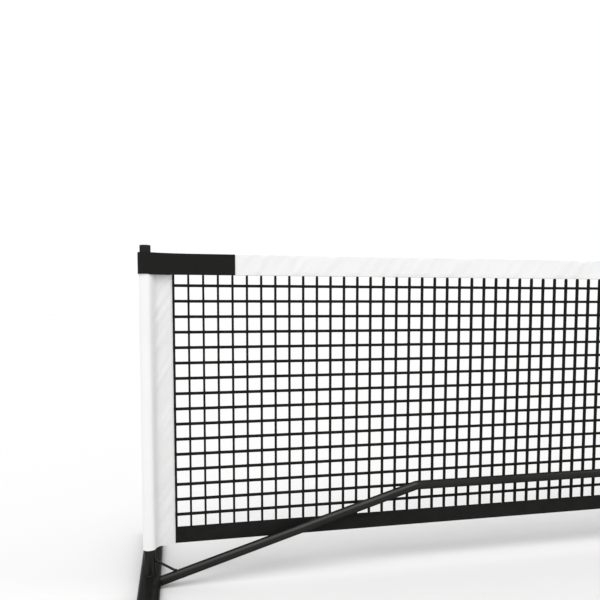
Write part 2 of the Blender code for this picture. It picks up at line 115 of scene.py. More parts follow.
# Light and stage
WORLD = 1.01
KEY = (1.80, 45, (-0.12, -0.40, 1.0))       # energy, size in degrees, direction towards it
FILL = (0.50, 35, (0.95, -0.20, 0.75))
FLOOR_HALF = 60

# Camera: its place is in from the edge strand, in front of the net, and above the ground
CAMERA_IN = 0.01045
CAMERA_AWAY = 1.6342
CAMERA_UP = 0.7727
CAMERA_TILT = 86.276          # degrees
CAMERA_TURN = -11.856         # degrees
LENS = 35.28                  # mm
SENSOR = 36                   # mm
SHIFT = (-0.0020, 0.0738)

# Meshes: how far apart the points of each cloth are in its coarser direction
TAPE_STEP = 0.0060
HEM_STEP = 0.0130
SLEEVE_STEP = 0.0042
BAND_STEP = 0.0047
STRAP_STEP = 0.0048
STRAP_RUN_STEP = 0.006        # along the strap
CURVE_STEPS = 12              # points on a smooth curve between two given ones
SHARP = radians(50)           # edges sharper than this aren't smoothed

WAVE_RATE = 20                # radians of Blender's wave texture in one unit of its scale
FRONT = (0, -1, 0)
REAR = (0, 1, 0)


# Materials

class Shader:
    """A Principled material whose nodes are added one by one."""

    def __init__(self, name, roughness=0.5, metallic=0.0, specular=0.5):
        self.material = bpy.data.materials.new(name)
        self.material.use_nodes = True
        self.tree = self.material.node_tree
        self.principled = self.tree.nodes["Principled BSDF"]
        self.set(Roughness=roughness, Metallic=metallic)
        self.principled.inputs["Specular IOR Level"].default_value = specular
        coordinates = self.add("ShaderNodeTexCoord")
        self.place = coordinates.outputs["Object"]
        self.cloth = coordinates.outputs["UV"]
        self.normal = None

    def add(self, kind, **values):
        node = self.tree.nodes.new(kind)
        for name, value in values.items():
            setattr(node, name, value)
        return node

    def link(self, source, target):
        self.tree.links.new(source, target)

    def set(self, **values):
        for name, value in values.items():
            self.principled.inputs[name.replace("_", " ")].default_value = value

    def mapped(self, source, scale=(1, 1, 1), turn=0.0):
        node = self.add("ShaderNodeMapping")
        node.inputs["Scale"].default_value = scale
        node.inputs["Rotation"].default_value = (0, 0, turn)
        self.link(source, node.inputs["Vector"])
        return node.outputs["Vector"]

    def noise(self, scale, detail=3.0, stretch=(1, 1, 1)):
        node = self.add("ShaderNodeTexNoise")
        node.inputs["Scale"].default_value = scale
        node.inputs["Detail"].default_value = detail
        self.link(self.mapped(self.place, stretch), node.inputs["Vector"])
        return node.outputs["Fac"]

    def ribs(self, period, turn=0.0, direction="X"):
        """Ribs so far apart, in metres, across the cloth's own length (X) or width (Y)."""
        node = self.add("ShaderNodeTexWave", bands_direction=direction)
        node.inputs["Scale"].default_value = tau / WAVE_RATE / period
        self.link(self.mapped(self.cloth, turn=turn), node.inputs["Vector"])
        return node.outputs["Fac"]

    def math(self, operation, first, second):
        node = self.add("ShaderNodeMath", operation=operation)
        for socket, value in zip(node.inputs, (first, second)):
            if isinstance(value, (int, float)):
                socket.default_value = value
            else:
                self.link(value, socket)
        return node.outputs["Value"]

    def between(self, factor, first, last, low=0.0, high=1.0):
        """A value or a colour that runs from first to last as factor goes from low to high."""
        node = self.add("ShaderNodeMapRange")
        self.link(factor, node.inputs["Value"])
        node.inputs["From Min"].default_value = low
        node.inputs["From Max"].default_value = high
        if isinstance(first, (int, float)):
            node.inputs["To Min"].default_value = first
            node.inputs["To Max"].default_value = last
            return node.outputs["Result"]
        mix = self.add("ShaderNodeMix", data_type="RGBA")
        self.link(node.outputs["Result"], mix.inputs["Factor"])
        mix.inputs["A"].default_value = (*first, 1)
        mix.inputs["B"].default_value = (*last, 1)
        return mix.outputs["Result"]

    def shaded(self, colour, factor):
        """A colour times a factor."""
        mix = self.add("ShaderNodeMix", data_type="RGBA", blend_type="MULTIPLY")
        mix.inputs["Factor"].default_value = 1
        self.link(colour, mix.inputs["A"])
        self.link(factor, mix.inputs["B"])
        return mix.outputs["Result"]

    def colour(self, socket):
        self.link(socket, self.principled.inputs["Base Color"])

    def rough(self, socket):
        self.link(socket, self.principled.inputs["Roughness"])

    def bump(self, socket, distance, strength=1.0):
        node = self.add("ShaderNodeBump")
        node.inputs["Distance"].default_value = distance
        node.inputs["Strength"].default_value = strength
        self.link(socket, node.inputs["Height"])
        if self.normal is not None:
            self.link(self.normal, node.inputs["Normal"])
        self.normal = node.outputs["Normal"]
        self.link(self.normal, self.principled.inputs["Normal"])


def weave(shader, period, depth, strength=1.0):
    """Plain weave: threads along the cloth cross threads over it."""
    warp = shader.ribs(period, direction="X")
    weft = shader.ribs(period, direction="Y")
    shader.bump(shader.math("MULTIPLY", warp, weft), depth, strength)
    return warp, weft


def braid(shader, period, slant):
    """Strands that cross along a line, slanting both ways."""
    one = shader.ribs(period, slant, direction="Y")
    other = shader.ribs(period, -slant, direction="Y")
    return shader.math("MAXIMUM", one, other)


def coated_steel():
    """Satin black powder coat: fine orange peel, with light dust and rubbing in the gloss.

    The coat is mixed mostly as a dark metal with a dim edge, which keeps its grazing gloss low.
    """
    made = Shader("black powder coat", 0.30, metallic=0.62, specular=0.0)
    made.set(Specular_Tint=(0.45, 0.45, 0.45, 1))
    patches = made.noise(9, 4)
    bare = (0.0229, 0.0228, 0.0218)
    dusty = (0.0271, 0.0268, 0.0257)
    made.colour(made.between(patches, bare, dusty, 0.35, 0.65))
    made.rough(made.between(patches, 0.16, 0.22, 0.3, 0.7))
    made.bump(made.noise(900, 2), 0.00010, 0.30)
    return made.material


def spring_steel():
    made = Shader("zinc-plated steel", 0.32, metallic=1.0)
    dull = (0.50, 0.50, 0.51)
    bright = (0.68, 0.68, 0.69)
    made.colour(made.between(made.noise(260, 3), dull, bright, 0.3, 0.7))
    made.bump(made.noise(1600, 2), 0.00004, 0.4)
    return made.material


def moulded_plastic():
    made = Shader("black moulded plastic", 0.48, specular=0.22)
    dark = (0.0140, 0.0140, 0.0140)
    light = (0.0185, 0.0185, 0.0185)
    made.colour(made.between(made.noise(40, 3), dark, light, 0.35, 0.65))
    made.bump(made.noise(1400, 2), 0.00008, 0.5)
    return made.material


def rubber():
    made = Shader("black rubber", 0.78, specular=0.20)
    dust = made.noise(60, 4)
    clean = (0.011, 0.011, 0.011)
    dusty = (0.020, 0.019, 0.018)
    made.colour(made.between(dust, clean, dusty, 0.4, 0.75))
    made.rough(made.between(dust, 0.72, 0.88, 0.3, 0.7))
    made.bump(made.noise(700, 3), 0.00015, 0.5)
    return made.material


def glass_fibre():
    made = Shader("black fibreglass", 0.28, specular=0.30)
    streaks = made.noise(60, 3, (8, 8, 0.4))
    dark = (0.010, 0.010, 0.011)
    light = (0.017, 0.017, 0.018)
    made.colour(made.between(streaks, dark, light, 0.35, 0.65))
    made.bump(made.noise(400, 2, (4, 4, 0.3)), 0.00006, 0.5)
    return made.material


def white_cloth(name, shade=None):
    """Coated polyester: a fine weave under a soft coating, with a little grime.

    shade is a function that adds nodes for a factor on the colour, which paints shade and light
    into it.
    """
    made = Shader(name, 0.60, specular=0.25)
    clean = (0.746, 0.746, 0.744)
    soiled = (0.716, 0.716, 0.713)
    tone = made.between(made.noise(7, 5), clean, soiled, 0.45, 0.85)
    made.colour(made.shaded(tone, shade(made)) if shade else tone)
    made.rough(made.between(made.noise(30, 3), 0.54, 0.68, 0.3, 0.7))
    weave(made, 0.0010, 0.00010, 0.4)
    made.bump(made.noise(170, 3, (1, 1, 0.6)), 0.00022, 0.30)
    made.set(Sheen_Weight=0.04, Sheen_Roughness=0.4)
    return made.material


def pocket_painted_shade_and_light(made):
    """Painted shade and light on the pocket's colour: painted shade darkest in the crease beside
    the post, lighter painted shade on the flat double layer, and a painted highlight that makes it
    whiter round the post.
    """
    # Factors on the colour: painted shade on the flat part, deeper painted shade in the crease, and
    # a painted highlight added round the post.
    flat = 0.926
    crease = 0.857
    painted_light_round_post = 0.180
    apart = made.add("ShaderNodeSeparateXYZ")
    made.link(made.place, apart.inputs["Vector"])
    along = made.math("ABSOLUTE", apart.outputs["X"], 0)
    thin = made.between(along, flat, crease, POST_X - 0.033, POST_X - 0.022)
    post = made.between(along, 0.0, painted_light_round_post, POST_X - 0.018, POST_X - 0.009)
    return made.math("ADD", thin, post)


def black_cloth():
    made = Shader("black hem cloth", 0.80, specular=0.10)
    clean = (0.0080, 0.0080, 0.0076)
    dusty = (0.0115, 0.0114, 0.0108)
    made.colour(made.between(made.noise(30, 4), clean, dusty, 0.35, 0.7))
    weave(made, 0.0012, 0.00015, 0.6)
    return made.material


def twine():
    """Braided twine: slanting strands along the line."""
    made = Shader("black net twine", 0.80, specular=0.08)
    strands = braid(made, 0.0016, radians(32))
    dark = (0.0060, 0.0060, 0.0057)
    light = (0.0100, 0.0098, 0.0093)
    made.colour(made.between(strands, dark, light))
    made.bump(strands, 0.00025, 0.6)
    made.bump(made.noise(1500, 3), 0.00006, 0.4)
    return made.material


def webbing(name, dark, light):
    """Flat woven webbing: ribs over its width, and a slanting twill."""
    made = Shader(name, 0.74, specular=0.12)
    warp, weft = weave(made, 0.0021, 0.00022, 0.7)
    made.bump(made.ribs(0.0042, radians(45)), 0.00010, 0.5)
    made.colour(made.between(made.math("ADD", warp, weft), dark, light, 0.2, 1.9))
    return made.material


def thread(name, colour, specular):
    """Twisted thread, a fifth lighter where it catches the light."""
    made = Shader(name, 0.6, specular=specular)
    light = tuple(1.2 * value for value in colour)
    made.colour(made.between(made.noise(900, 2), colour, light, 0.3, 0.7))
    made.bump(made.noise(2500, 1), 0.00010, 0.6)
    return made.material


def braided_cord():
    """The cords are CAD solids with no cloth coordinates, so their braid is in depth only."""
    made = Shader("white braided cord", 0.7, specular=0.3)
    lumps = made.noise(700, 2, (0.5, 1, 1))
    dark = (0.50, 0.50, 0.48)
    light = (0.74, 0.74, 0.72)
    made.colour(made.between(lumps, dark, light, 0.3, 0.7))
    made.bump(lumps, 0.0003, 0.7)
    return made.material


# Mesh helpers

def new_object(name, mesh, *materials):
    obj = bpy.data.objects.new(name, mesh)
    bpy.context.scene.collection.objects.link(obj)
    for material in materials:
        mesh.materials.append(material)
    mesh.shade_smooth()
    mesh.set_sharp_from_angle(angle=SHARP)
    return obj


def applied(obj):
    """Turns an object's modifiers into its mesh."""
    graph = bpy.context.evaluated_depsgraph_get()
    mesh = bpy.data.meshes.new_from_object(obj.evaluated_get(graph))
    obj.modifiers.clear()
    obj.data = mesh
    mesh.set_sharp_from_angle(angle=SHARP)
    return obj


def distances(points):
    """How far along a line each of its points is."""
    found = [0.0]
    for first, second in zip(points, points[1:]):
        found.append(found[-1] + (Vector(second) - Vector(first)).length)
    return found


def unwrap(mesh, coordinates):
    layer = mesh.uv_layers.new(name="cloth")
    layer.data.foreach_set("uv", [value for pair in coordinates for value in pair])


def cloth(name, lines, material, thickness):
    """Cloth of one thickness through lines of points, with its own coordinates in metres."""
    mesh = bpy.data.meshes.new(name)
    width = len(lines[0])
    points = [tuple(point) for line in lines for point in line]
    across = distances(lines[0])
    along = distances([line[0] for line in lines])
    faces = []
    places = []
    for i in range(len(lines) - 1):
        for j in range(width - 1):
            a = i * width + j
            faces.append((a, a + 1, a + width + 1, a + width))
            places += [(across[j], along[i]), (across[j + 1], along[i]),
                       (across[j + 1], along[i + 1]), (across[j], along[i + 1])]
    mesh.from_pydata(points, [], faces)
    unwrap(mesh, places)
    obj = new_object(name, mesh, material)
    solid = obj.modifiers.new("thickness", "SOLIDIFY")
    solid.thickness = thickness
    solid.offset = 0
    solid.use_even_offset = True
    return applied(obj)


def rounded(points, steps):
    """Points evenly spaced along a smooth curve through the given points of a plane."""
    ends = [points[0], *points, points[-1]]
    dense = []
    for i in range(len(points) - 1):
        p0, p1, p2, p3 = (Vector(p) for p in ends[i:i + 4])
        for j in range(CURVE_STEPS):
            t = j / CURVE_STEPS
            bend = 2 * p0 - 5 * p1 + 4 * p2 - p3
            twist = 3 * p1 - p0 - 3 * p2 + p3
            dense.append(0.5 * (2 * p1 + (p2 - p0) * t + bend * t ** 2 + twist * t ** 3))
    dense.append(Vector(points[-1]))
    return even(dense, steps)


def even(line, steps):
    """The same line with its points evenly spaced."""
    along = distances(line)
    found = []
    i = 0
    for k in range(steps + 1):
        wanted = along[-1] * k / steps
        while i < len(line) - 2 and along[i + 1] < wanted:
            i += 1
        share = (wanted - along[i]) / max(along[i + 1] - along[i], 1e-9)
        found.append(line[i].lerp(line[i + 1], min(max(share, 0), 1)))
    return found


def normals_of(line):
    """The normal of a line in its plane at each point, to the left of its direction."""
    found = []
    for i in range(len(line)):
        before = line[max(i - 1, 0)]
        after = line[min(i + 1, len(line) - 1)]
        along = (after - before).normalized()
        found.append(Vector((-along[1], along[0])))
    return found


def span(first, last, step):
    """Evenly spaced values from first to last, about step apart."""
    count = max(1, round(abs(last - first) / step))
    return [first + (last - first) * i / count for i in range(count + 1)]


def ramp(value, low, high):
    """Smoothly from 0 at low to 1 at high."""
    share = min(max((value - low) / (high - low), 0), 1)
    return share * share * (3 - 2 * share)


def stitch(points, faces, place, along, out):
    """One stitch: a short rounded bar that dips into the cloth at both ends."""
    length, width, height = STITCH
    along = along.normalized() * length / 2
    out = out.normalized() * height
    side = along.cross(out).normalized() * width / 2
    dip = out * STITCH_DIP
    start = len(points)
    points.append(place - along - dip)
    for shift in (-STITCH_SHOULDER, STITCH_SHOULDER):
        middle = place + along * shift
        points += [middle - side - dip, middle + out, middle + side - dip]
    points.append(place + along - dip)
    for a, b, c in ((0, 2, 1), (0, 3, 2), (0, 1, 3), (7, 4, 5), (7, 5, 6), (7, 6, 4)):
        faces.append((start + a, start + b, start + c))
    for a, b in ((1, 2), (2, 3), (3, 1)):
        faces.append((start + a, start + b, start + b + 3, start + a + 3))


def sew(name, seams, material):
    """Stitches along seams, each a line of points on the cloth and the way out of it."""
    points = []
    faces = []
    for line, out in seams:
        count = round(distances(line)[-1] / STITCH_STEP)
        ends = even(line, count)
        for first, second in zip(ends, ends[1:]):
            stitch(points, faces, (first + second) / 2, second - first, Vector(out))
    mesh = bpy.data.meshes.new(name)
    mesh.from_pydata([tuple(point) for point in points], [], faces)
    made = new_object(name, mesh, material)
    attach(made, BODY)
    return made


def lifted(points, out):
    """Points moved from the middle of the cloth to its face."""
    return [Vector(point) + Vector(out) * CLOTH / 2 for point in points]


def dress(piece, node):
    """Lets a piece stand for a node, on the fixed body."""
    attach(piece, BODY)
    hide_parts(node)


# The net's mesh

def bar_section(width, depth):
    """Eight points round a bar with softened corners: across, then in depth."""
    a = width / 2
    b = depth / 2
    soft = 0.1 * min(a, b)
    return [(a, -b + soft), (a, b - soft), (a - soft, b), (-a + soft, b),
            (-a, b - soft), (-a, -b + soft), (-a + soft, -b), (a - soft, -b)]


def bar(net, section, stations, place, flip):
    """Adds one bar to the net's points, faces and cloth coordinates.

    A station is its place along the bar, its share of the width and of the depth, and its drift.
    place turns (across, depth, along) into a point, and flip turns the faces outwards.
    """
    points, faces, coordinates = net
    start = len(points)
    count = len(section)
    ring = distances([(a, b, 0) for a, b in section + section[:1]])
    for along, width_share, depth_share, drift in stations:
        points += [place(a * width_share + drift, b * depth_share, along) for a, b in section]
    for i in range(len(stations) - 1):
        low = stations[i][0]
        high = stations[i + 1][0]
        for j in range(count):
            a = start + i * count + j
            b = start + i * count + (j + 1) % count
            quad = [(a, (ring[j], low)), (b, (ring[j + 1], low)),
                    (b + count, (ring[j + 1], high)), (a + count, (ring[j], high))]
            add_face(faces, coordinates, quad, flip)
    last = start + (len(stations) - 1) * count
    for first, turned in ((start, not flip), (last, flip)):
        cap = [(first + j, section[j]) for j in range(count)]
        add_face(faces, coordinates, cap, turned)


def add_face(faces, coordinates, corners, flip):
    """One face. Each corner is a point's index and its cloth coordinates."""
    corners = corners[::-1] if flip else corners
    faces.append(tuple(index for index, _ in corners))
    coordinates += [place for _, place in corners]


def upright(net, x, width, rows):
    """One upright strand, thinned at both ends where the tape and the hem hold it."""
    section = bar_section(width, UPRIGHT_SIZE[1])
    held = (0.8, 0.48, 0)
    edge = (0.9, 0.54, 0)
    free = (1, 1, 0)
    stations = [(TAPE_BOTTOM + HELD_IN, *held), (TAPE_BOTTOM, *edge), (TAPE_BOTTOM - 0.005, *free)]
    for i, z in enumerate(rows):
        wander = 0.00016 * noise.noise((x * 40, z * 30, 1.7))
        below = rows[i + 1] if i + 1 < len(rows) else HEM_HIGH.z
        stations.append((z, 1.03, 1, wander))
        stations.append(((z + below) / 2, 0.99, 1, wander * 0.5))
    stations += [(HEM_HIGH.z + 0.003, *free), (HEM_HIGH.z, *edge), (HEM_HIGH.z - HELD_IN, *held)]
    bar(net, section, stations, lambda a, b, z: (x + a, NET_Y + b, z), False)


def row(net, z, columns):
    """One level strand, a little thicker where it crosses the uprights."""
    section = bar_section(*ROW_SIZE)
    stations = []
    for i, x in enumerate(columns):
        wander = 0.00020 * noise.noise((x * 35, z * 40, 8.1))
        stations.append((x, 1.02, 1, wander))
        if i + 1 < len(columns):
            stations.append(((x + columns[i + 1]) / 2, 0.99, 1, wander))
    bar(net, section, stations, lambda a, b, x: (x, NET_Y + b, z + a), True)


def net_panel():
    """All the strands as one mesh, with one more row held in the tape."""
    first = -POST_X + EDGE_STRAND
    columns = [first - 2 * first * i / (COLUMNS - 1) for i in range(COLUMNS)]
    rows = [TAPE_HIGH.z - TOP_ROW_DROP - ROW_STEP * i for i in range(ROWS)]
    held_row = TAPE_BOTTOM - PEEP + ROW_SIZE[0] / 2
    net = ([], [], [])
    for i, x in enumerate(columns):
        width = EDGE_WIDTH if i in (0, COLUMNS - 1) else UPRIGHT_SIZE[0]
        upright(net, x, width, rows)
    for z in [held_row, *rows]:
        row(net, z, columns)
    points, faces, coordinates = net
    mesh = bpy.data.meshes.new("net_twine")
    mesh.from_pydata(points, [], faces)
    unwrap(mesh, coordinates)
    panel = new_object("net_twine", mesh, twine())
    dress(panel, "net_mesh")


# Tape and hem

def fold_line(half, edge, fold, steps_flat, steps_bend, squareness=1.0):
    """The cross-section of cloth folded over an edge: (depth, height) from front to rear.

    The fold is round at squareness 1, and its shoulders get tighter as the value rises.
    """
    up = 1 if fold > edge else -1
    centre = fold - up * half
    front = [(-half, edge + (centre - edge) * i / steps_flat) for i in range(steps_flat)]
    rear = [(half, z) for _, z in front[::-1]]
    bend = []
    for i in range(steps_bend + 1):
        angle = pi - pi * i / steps_bend
        across = abs(cos(angle)) ** (1 / squareness)
        rise = abs(sin(angle)) ** (1 / squareness)
        bend.append((half * (across if cos(angle) > 0 else -across), centre + up * half * rise))
    return front + bend + rear


def drag(x, z, seed):
    """Slanting drag lines of cloth that is pulled along X: from about -1 to 1."""
    slanted = x - 0.58 * z
    patch = 0.60 + 0.40 * noise.noise((x * 4.5, z * 4, seed + 7.7))
    coarse = noise.noise((slanted * 22, z * 4, seed))
    middle = noise.noise((slanted * 47, z * 7, seed + 1.9))
    fine = noise.noise((slanted * 92, z * 10, seed + 3.3))
    return (coarse * 0.45 + middle * 0.75 + fine * 0.28) * 2 * patch


def dent(x, step, seed):
    """1 at the middle of a dent and 0 away from it. The dents are about step apart."""
    cell = round(x / step)
    middle = step * (cell + 0.32 * noise.noise((cell * 5.3, seed, 2.2)))
    return 1 - ramp(abs(x - middle), 0.0, DENT_HALF)


def tape_line(section, x, top, bottom):
    """The tape's cross-section at x: wrinkled, dented along the top, and flat under webbing."""
    covered = POST_X - BAND_EDGE
    bare = ramp(abs(x), covered + 0.004, covered - 0.012) * ramp(abs(x), 0.026, 0.050)
    dents = 0.0006 * dent(x, DENT_STEP, 3.1) + 0.0004 * dent(x, DENT_STEP / 2.7, 6.4)
    line = []
    for depth, z in section:
        share = (z - bottom) / (top - bottom)
        side = -1 if depth < 0 else 1
        pull = drag(x, -side * z, 2.0 + side)
        free = ramp(share, 0.0, 0.18) * (1 - 0.7 * ramp(share, 0.90, 1.0))
        out = TAPE_WRINKLE * bare * free * min(max(pull, -0.15), 1)
        sink = (dents - TAPE_RISE) * bare * ramp(share, 0.78, 1.0)
        line.append((x, NET_Y + depth + side * out, z - sink))
    return line


def top_tape(material, white_thread):
    """White cloth folded over the top of the mesh, with two rows of stitches on each face."""
    reach = TAPE_HIGH.x
    half = (TAPE_HIGH.y - TAPE_LOW.y) / 2 - CLOTH / 2 - CLEAR
    top = TAPE_HIGH.z - CLOTH / 2 - CLEAR
    section = fold_line(half, TAPE_BOTTOM, top, steps_flat=13, steps_bend=12,
                        squareness=TAPE_SQUARENESS)
    lines = [tape_line(section, x, top, TAPE_BOTTOM) for x in span(-reach, reach, TAPE_STEP)]
    tape = cloth("top_tape_cloth", lines, material, CLOTH)
    dress(tape, "top_tape")
    seams = []
    for index in (1, 2):
        seams.append((lifted([line[index] for line in lines], FRONT), FRONT))
        seams.append((lifted([line[-1 - index] for line in lines], REAR), REAR))
    seam = sew("top_tape_stitches", seams, white_thread)


def bottom_hem(material, black_thread):
    """Black cloth folded up round the bottom of the mesh, with a row of stitches on each face."""
    reach = HEM_HIGH.x
    half = (HEM_HIGH.y - HEM_LOW.y) / 2 - CLOTH / 2 - CLEAR
    bottom = HEM_LOW.z + CLOTH / 2 + CLEAR / 2
    section = fold_line(half, HEM_HIGH.z, bottom, steps_flat=8, steps_bend=8)
    lines = []
    for x in span(-reach, reach, HEM_STEP):
        line = []
        for depth, z in section:
            side = -1 if depth < 0 else 1
            share = (HEM_HIGH.z - z) / (HEM_HIGH.z - bottom)
            out = drag(x, z, 14.0 + side) * HEM_WRINKLE * ramp(share, 0, 0.3)
            line.append((x, NET_Y + depth + side * out, z))
        lines.append(line)
    hem = cloth("bottom_hem_cloth", lines, material, CLOTH)
    dress(hem, "bottom_hem")
    seams = [(lifted([line[1] for line in lines], FRONT), FRONT),
             (lifted([line[-2] for line in lines], REAR), REAR)]
    seam = sew("bottom_hem_stitches", seams, black_thread)


# Side sleeves

def sleeve_path(share):
    """Round the post and flat to the net's edge: (inward, depth) from the front edge to the rear.

    The pocket hangs looser towards its lower end, where share is 0. Its slack is on the outer
    side of the post.
    """
    layer = 0.0017
    front = NET_Y - layer
    rear = NET_Y + layer
    radius = POST_R + 0.0013
    outward = -0.0026 + 0.0016 * share
    crease = 0.0235 + 0.0060 * share
    path = [(SLEEVE_EDGE, front), (0.058, front - 0.0004), (0.046, front - 0.0016),
            (crease + 0.0070, front - 0.0032), (crease, front - 0.0060),
            (crease - 0.0062, front - 0.0135)]
    for i in range(13):
        angle = radians(31 + 224 * i / 12)
        loose = outward * (1 - cos(angle)) / 2
        path.append((loose + radius * cos(angle), -radius * sin(angle)))
    path += [(0.0120, rear - 0.0012), (0.0240, rear), (0.045, rear), (SLEEVE_EDGE, rear)]
    return rounded(path, 96)


def sleeve_fold(inward, depth, z, seed):
    """How far the sleeve's cloth stands out: slanting folds on the flat part, slack on the post."""
    if depth > NET_Y:
        seed += 5
    flat = ramp(inward, 0.018, 0.028) * (1 - ramp(inward, SLEEVE_EDGE - 0.012, SLEEVE_EDGE))
    slanted = z - 1.5 * inward
    folds = noise.noise((slanted * 17, inward * 10, seed))
    folds += 0.80 * noise.noise((slanted * 43, inward * 16, seed + 2))
    slack = noise.noise((z * 6, inward * 30, seed + 9))
    slack += 0.5 * noise.noise((z * 17, depth * 60, seed + 4))
    around = 1 - ramp(inward, 0.014, 0.024)
    return SLEEVE_FOLD * max(folds, -0.45) * flat + SLEEVE_SLACK * max(slack, -0.25) * around


def side_sleeve(name, side, material, white_thread):
    """The pocket round a post, with the seams that close it and bind its edge."""
    bottom = SLEEVE_LOW.z
    top = SLEEVE_HIGH.z
    seed = 21.0 if side < 0 else 37.0
    lines = []
    for z in span(bottom, top, SLEEVE_STEP):
        path = sleeve_path((z - bottom) / (top - bottom))
        line = []
        for point, normal in zip(path, normals_of(path)):
            moved = point + normal * sleeve_fold(point[0], point[1], z, seed)
            line.append((side * (POST_X - moved[0]), moved[1], z))
        lines.append(line)
    sleeve = cloth(f"{name}_sleeve_cloth", lines, material, CLOTH)
    dress(sleeve, f"{name}_side_sleeve")
    path = sleeve_path(1)
    seams = []
    for index, normal in enumerate(normals_of(path)):
        if seam_here(path, index):
            out = Vector((-side * normal[0], normal[1], 0))
            seams.append((lifted([line[index] for line in lines], out), out))
    seam = sew(f"{name}_sleeve_stitches", seams, white_thread)


def seam_here(path, index):
    """Seams close the pocket beside the post and bind the two layers at the net's edge."""
    edges = (SLEEVE_EDGE - EDGE_SEAM, POCKET_SEAM)
    if index == 0 or index == len(path) - 1:
        return False
    return any((path[index][0] - edge) * (path[index - 1][0] - edge) <= 0 for edge in edges)


# Webbing

def band_path():
    """A loose loop round the post whose front run stands off the tape: (inward, depth)."""
    layer = (BAND_HIGH.y - NET_Y) - WEBBING / 2
    front = NET_Y - layer
    rear = NET_Y + layer
    slack = 0.0020
    radius = abs(POST_X + BAND_LOW.x) - WEBBING / 2 - slack
    path = [(BAND_EDGE, front), (0.180, front), (0.130, front), (0.100, front - 0.0012),
            (0.070, front - 0.0063), (0.045, front - 0.0120), (0.030, front - 0.0171),
            (0.0195, front - 0.0228)]
    for i in range(12):
        angle = radians(52 + 205 * i / 11)
        path.append((radius * cos(angle) - slack, -radius * sin(angle)))
    path += [(0.0120, rear - 0.0022), (0.026, rear), (0.060, rear), (0.150, rear),
             (BAND_EDGE, rear)]
    return rounded(path, 150)


def corner_band(name, side, material, black_thread):
    """Webbing round the post, drooping where it leaves it, and sewn to the tape at both ends."""
    path = band_path()
    normals = normals_of(path)
    seed = 51.0 if side < 0 else 63.0
    low = BAND_LOW.z + CLEAR
    high = BAND_HIGH.z - CLEAR
    lines = []
    for z in span(low, high, BAND_STEP):
        line = []
        for point, normal in zip(path, normals):
            inward, depth = point
            slack = noise.noise((inward * 14, z * 16, seed + depth * 20))
            moved = point + normal * (0.0003 * slack * ramp(inward, 0.012, 0.030) + 0.0002)
            loose = ramp(inward, 0.080, 0.055) * ramp(inward, 0.0, 0.016)
            droop = BAND_DROOP * loose * ramp(z, high, low)
            line.append((side * (POST_X - moved[0]), moved[1], z - droop))
        lines.append(line)
    band = cloth(f"{name}_corner_band_cloth", lines, material, WEBBING)
    dress(band, f"{name}_corner_band")
    inset = 0.004
    far = inset + BAND_BOX
    box = [(inset, low + inset), (inset, high - inset), (far, high - inset), (far, low + inset),
           (inset, low + inset)]
    seams = []
    for depth, out in ((lines[0][0][1], Vector(FRONT)), (lines[0][-1][1], Vector(REAR))):
        y = depth + out.y * (WEBBING / 2 + 0.0001)
        corners = [Vector((side * (POST_X - BAND_EDGE + a), y, z)) for a, z in box]
        seams += [(pair, out) for pair in zip(corners, corners[1:])]
    seam = sew(f"{name}_band_stitches", seams, black_thread)


def strap_path():
    """Round the anchor bar, up the front, over the tape and down behind: (depth, height)."""
    front = (SLIDER_LOW.y + SLIDER_HIGH.y) / 2
    rear = STRAP_HIGH.y - WEBBING / 2
    top = STRAP_HIGH.z - WEBBING / 2
    bar_r = (ANCHOR_HIGH.z - ANCHOR_LOW.z) / 2
    bar_y = ANCHOR_LOW.y + bar_r
    bar_z = (ANCHOR_LOW.z + ANCHOR_HIGH.z) / 2
    loop = bar_r + WEBBING / 2 + 0.0005
    path = [(front - 0.0028, 0.172), (bar_y - 0.0006, 0.152)]
    for i in range(9):
        angle = radians(190 + 20 * i)
        path.append((bar_y + loop * cos(angle), bar_z + loop * sin(angle)))
    path += [(bar_y + 0.0046, 0.140), (front - 0.0008, 0.166), (front, 0.186), (front, 0.36),
             (front, 0.56), (front, 0.76), (front, top - 0.012), (front + 0.0024, top - 0.0034),
             (front + 0.0080, top), (rear - 0.0060, top), (rear - 0.0012, top - 0.0014),
             (rear, top - 0.006), (rear, 0.70), (rear, 0.45), (rear, 0.25), (rear, STRAP_LOW.z)]
    return [Vector(point) for point in path]


def fine(points, step):
    """The same corners, with straight runs cut into short steps."""
    found = [points[0]]
    for first, second in zip(points, points[1:]):
        count = max(1, round((second - first).length / step))
        found += [first.lerp(second, (i + 1) / count) for i in range(count)]
    return found


def middle_strap(material, white_thread):
    """The strap over the net, with a crossed box of stitches at each end."""
    path = fine(strap_path(), STRAP_RUN_STEP)
    half = STRAP_HIGH.x
    lines = []
    for x in span(-half, half, STRAP_STEP):
        edge = 0.0002 * ramp(abs(x), half - 0.006, half)
        lines.append([(x, y + edge, z) for y, z in path])
    strap = cloth("middle_strap_webbing", lines, material, WEBBING)
    dress(strap, "middle_strap")
    side = half - 0.004
    front_seam = (path[0][0] - WEBBING / 2 - 0.0003, Vector(FRONT), 0.156, 0.169)
    rear_seam = (STRAP_HIGH.y + 0.0001, Vector(REAR), 0.129, 0.154)
    seams = []
    for y, out, low, high in (front_seam, rear_seam):
        box = ((-side, low), (side, low), (side, high), (-side, high), (-side, low), (side, high))
        corners = [Vector((x, y, z)) for x, z in box]
        seams += [(pair, out) for pair in zip(corners, corners[1:])]
    seam = sew("middle_strap_stitches", seams, white_thread)


# Welds

